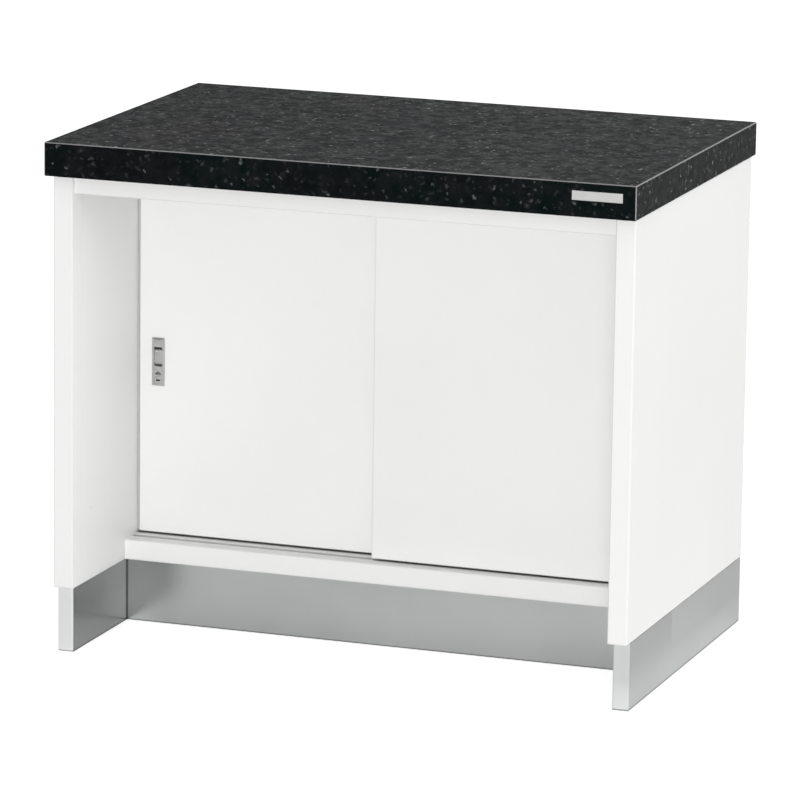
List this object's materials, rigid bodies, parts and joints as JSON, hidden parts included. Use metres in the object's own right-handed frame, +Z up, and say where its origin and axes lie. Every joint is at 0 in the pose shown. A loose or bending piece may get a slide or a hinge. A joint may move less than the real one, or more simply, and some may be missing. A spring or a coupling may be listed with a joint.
{
  "type": "balance table",
  "caption": "Laboratory table with a thick polished stone slab on a white steel cabinet, with a knee recess, lockable sliding doors, a shelf and a metal base.",
  "frame": {"origin": "on the floor, under the middle of the slab", "axes": "+Z up, +X to the right of a person facing the doors, -Y towards that person (the front)"},
  "size_m": [0.9, 0.6, 0.77],
  "materials": {
    "stone": "polished black stone with fine grey chips",
    "white_paint": "white powder coat, semi-gloss",
    "brushed_metal": "stainless steel with a fine horizontal brushed grain",
    "nickel": "satin nickel plating",
    "zinc_steel": "zinc-plated steel",
    "white_plastic": "white moulded plastic",
    "black_rubber": "matt black rubber"
  },
  "bodies": {
    "cabinet": {"stone_slab": "stone", "blank_plate": "nickel", "slab_pad_left_front": "black_rubber", "slab_pad_left_rear": "black_rubber", "slab_pad_right_front": "black_rubber", "slab_pad_right_rear": "black_rubber", "left_side_shell": "white_paint", "right_side_shell": "white_paint", "left_side_liner": "white_paint", "right_side_liner": "white_paint", "top_front_rail": "white_paint", "top_rear_rail": "white_paint", "deck_panel": "white_paint", "upper_track": "white_plastic", "sill_rail": "white_paint", "cabinet_floor": "white_paint", "back_panel": "white_paint", "shelf": "white_paint", "shelf_clip_left_front": "zinc_steel", "shelf_clip_left_rear": "zinc_steel", "shelf_clip_right_front": "zinc_steel", "shelf_clip_right_rear": "zinc_steel", "left_strike": "zinc_steel", "right_strike": "zinc_steel", "left_door_bumper": "white_plastic", "right_door_bumper": "white_plastic", "left_door_stop": "black_rubber", "right_door_stop": "black_rubber", "left_plinth": "brushed_metal", "right_plinth": "brushed_metal", "kick_plate": "brushed_metal", "rear_kick_plate": "brushed_metal"},
    "left_door": {"left_door_skin": "white_paint", "left_door_back": "white_paint", "left_pull": "nickel", "left_door_guide_1": "white_plastic", "left_door_guide_2": "white_plastic", "left_door_roller_1_frame": "zinc_steel", "left_door_roller_1_axle": "zinc_steel", "left_door_roller_2_frame": "zinc_steel", "left_door_roller_2_axle": "zinc_steel"},
    "right_door": {"right_door_skin": "white_paint", "right_door_back": "white_paint", "right_pull": "nickel", "right_door_guide_1": "white_plastic", "right_door_guide_2": "white_plastic", "right_door_roller_1_frame": "zinc_steel", "right_door_roller_1_axle": "zinc_steel", "right_door_roller_2_frame": "zinc_steel", "right_door_roller_2_axle": "zinc_steel"},
    "left_roller_1": {"left_door_roller_1": "white_plastic"},
    "left_roller_2": {"left_door_roller_2": "white_plastic"},
    "right_roller_1": {"right_door_roller_1": "white_plastic"},
    "right_roller_2": {"right_door_roller_2": "white_plastic"},
    "left_plug": {"left_lock_plug": "nickel"},
    "right_plug": {"right_lock_plug": "nickel"},
    "left_bolt": {"left_lock_bolt": "zinc_steel"},
    "right_bolt": {"right_lock_bolt": "zinc_steel"}
  },
  "joints": [
    {"name": "left_door_slide", "type": "slide", "parent": "cabinet", "child": "left_door", "axis": [1, 0, 0], "range_m": [0, 0.34]},
    {"name": "right_door_slide", "type": "slide", "parent": "cabinet", "child": "right_door", "axis": [1, 0, 0], "range_m": [-0.34, 0]},
    {"name": "left_roller_1_spin", "type": "hinge", "parent": "left_door", "child": "left_roller_1", "pos_m": [-0.351, -0.017, 0.1373], "axis": [0, 1, 0], "range_deg": [0, 1640]},
    {"name": "left_roller_2_spin", "type": "hinge", "parent": "left_door", "child": "left_roller_2", "pos_m": [-0.035, -0.017, 0.1373], "axis": [0, 1, 0], "range_deg": [0, 1640]},
    {"name": "right_roller_1_spin", "type": "hinge", "parent": "right_door", "child": "right_roller_1", "pos_m": [0.035, -0.047, 0.1373], "axis": [0, 1, 0], "range_deg": [-1640, 0]},
    {"name": "right_roller_2_spin", "type": "hinge", "parent": "right_door", "child": "right_roller_2", "pos_m": [0.351, -0.047, 0.1373], "axis": [0, 1, 0], "range_deg": [-1640, 0]},
    {"name": "left_lock_turn", "type": "hinge", "parent": "left_door", "child": "left_plug", "pos_m": [-0.38, -0.029, 0.3695], "axis": [0, -1, 0], "range_deg": [0, 92]},
    {"name": "right_lock_turn", "type": "hinge", "parent": "right_door", "child": "right_plug", "pos_m": [0.38, -0.059, 0.3695], "axis": [0, 1, 0], "range_deg": [0, 92]},
    {"name": "left_bolt_throw", "type": "slide", "parent": "left_door", "child": "left_bolt", "axis": [-1, 0, 0], "range_m": [0, 0.008]},
    {"name": "right_bolt_throw", "type": "slide", "parent": "right_door", "child": "right_bolt", "axis": [1, 0, 0], "range_m": [0, 0.008]}
  ],
  "couplings": [
    {"joint": "left_roller_1_spin", "follows": "left_door_slide", "rad_per_m": 83.333},
    {"joint": "left_roller_2_spin", "follows": "left_door_slide", "rad_per_m": 83.333},
    {"joint": "right_roller_1_spin", "follows": "right_door_slide", "rad_per_m": 83.333},
    {"joint": "right_roller_2_spin", "follows": "right_door_slide", "rad_per_m": 83.333},
    {"joint": "left_lock_turn", "follows": "left_bolt_throw", "rad_per_m": 196.35},
    {"joint": "right_lock_turn", "follows": "right_bolt_throw", "rad_per_m": 196.35}
  ]
}
